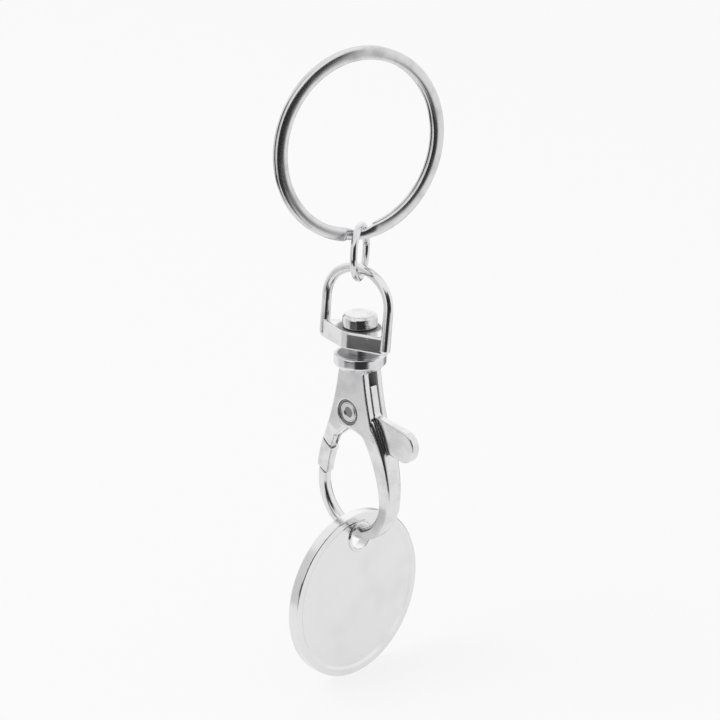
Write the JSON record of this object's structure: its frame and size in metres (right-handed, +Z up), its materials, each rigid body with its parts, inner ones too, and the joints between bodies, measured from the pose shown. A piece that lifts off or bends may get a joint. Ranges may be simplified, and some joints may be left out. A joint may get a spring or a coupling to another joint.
{
  "type": "token keyring",
  "caption": "Keyring with a split ring, a swivelling snap hook and a coin-sized disc that hangs from the hook by a hole near its edge.",
  "frame": {"origin": "hanging point: the top inside of the split ring, where a hook or a finger carries it", "axes": "+Z up along the swivel axis, +X towards the snap hook's thumb tab, -Y towards the front of the snap hook"},
  "size_m": [0.0175, 0.0246, 0.0863],
  "materials": {
    "spring_steel": "nickel-plated spring steel, polished",
    "wire_steel": "nickel-plated drawn wire, polished",
    "cast_nickel": "nickel-plated die casting, tumbled bright",
    "turned_steel": "nickel-plated turned steel",
    "token_nickel": "nickel-plated steel blank, plain satin faces and bright rims"
  },
  "bodies": {
    "ring": {"split_ring": "spring_steel"},
    "link": {"jump_ring": "wire_steel"},
    "eye": {"swivel_eye": "cast_nickel"},
    "hook": {"clasp_body": "cast_nickel", "swivel_rivet": "turned_steel", "pivot_rivet": "turned_steel", "lever_spring": "spring_steel"},
    "lever": {"gate_lever": "cast_nickel"},
    "disc": {"coin_token": "token_nickel"}
  },
  "joints": [
    {"name": "link_swing", "type": "hinge", "parent": "ring", "child": "link", "pos_m": [0, 0, -0.02282], "axis": [0.2402, 0.9707, 0], "range_deg": [-22, 22]},
    {"name": "eye_swing", "type": "hinge", "parent": "link", "child": "eye", "pos_m": [0, 0, -0.02726], "axis": [1, 0, 0], "range_deg": [-60, 60]},
    {"name": "hook_swivel", "type": "hinge", "parent": "eye", "child": "hook", "pos_m": [0, 0, -0.03873], "axis": [0, 0, 1], "continuous": true},
    {"name": "lever_press", "type": "hinge", "parent": "hook", "child": "lever", "pos_m": [-0.00065, 0, -0.04682], "axis": [0, -1, 0], "range_deg": [0, 17], "stiffness_Nm_per_rad": 0.05, "springref_deg": -8.02, "deforming": ["lever_spring"]},
    {"name": "disc_swing", "type": "hinge", "parent": "hook", "child": "disc", "pos_m": [-0.00057, 0, -0.06421], "axis": [1, 0, 0], "range_deg": [-105, 105]}
  ]
}
